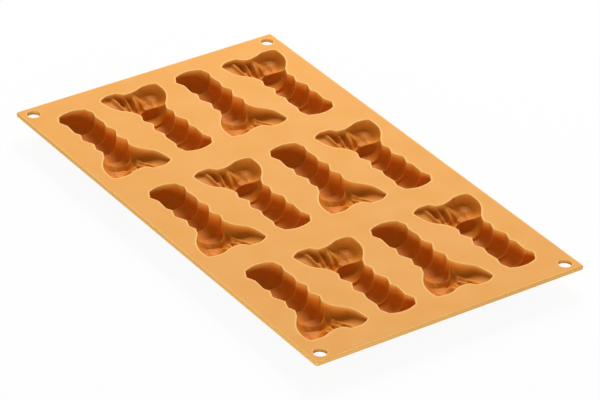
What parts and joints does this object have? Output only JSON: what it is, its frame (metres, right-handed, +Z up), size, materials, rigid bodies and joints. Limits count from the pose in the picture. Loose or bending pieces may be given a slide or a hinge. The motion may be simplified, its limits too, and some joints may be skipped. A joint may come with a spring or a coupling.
{
  "type": "flexible baking mould",
  "caption": "Flexible silicone sheet mould with langoustine tail cavities in staggered rows, hanging holes in its corners and plain webs that bend.",
  "frame": {"origin": "under the middle of the sheet, on the surface that the cups' feet stand on", "axes": "+X along the sheet's length and the tails, +Y across the rows towards the far one, +Z up out of the cavities"},
  "size_m": [0.3, 0.175, 0.0128],
  "materials": {
    "silicone": "satin"
  },
  "bodies": {
    "left": {"left_panel": "silicone", "left_cup_1": "silicone", "left_cup_2": "silicone", "left_cup_3": "silicone", "left_cup_4": "silicone"},
    "centre": {"centre_panel": "silicone", "centre_cup_1": "silicone", "centre_cup_2": "silicone", "centre_cup_3": "silicone", "centre_cup_4": "silicone", "left_web": "silicone", "right_web": "silicone"},
    "right": {"right_panel": "silicone", "right_cup_1": "silicone", "right_cup_2": "silicone", "right_cup_3": "silicone", "right_cup_4": "silicone"}
  },
  "joints": [
    {"name": "left_flex", "type": "hinge", "parent": "centre", "child": "left", "pos_m": [-0.04913, 0, 0.01155], "axis": [0, 1, 0], "range_deg": [-45, 90], "stiffness_Nm_per_rad": 0.06, "deforming": ["left_web"]},
    {"name": "right_flex", "type": "hinge", "parent": "centre", "child": "right", "pos_m": [0.04713, 0, 0.01155], "axis": [0, -1, 0], "range_deg": [-45, 90], "stiffness_Nm_per_rad": 0.06, "deforming": ["right_web"]}
  ]
}
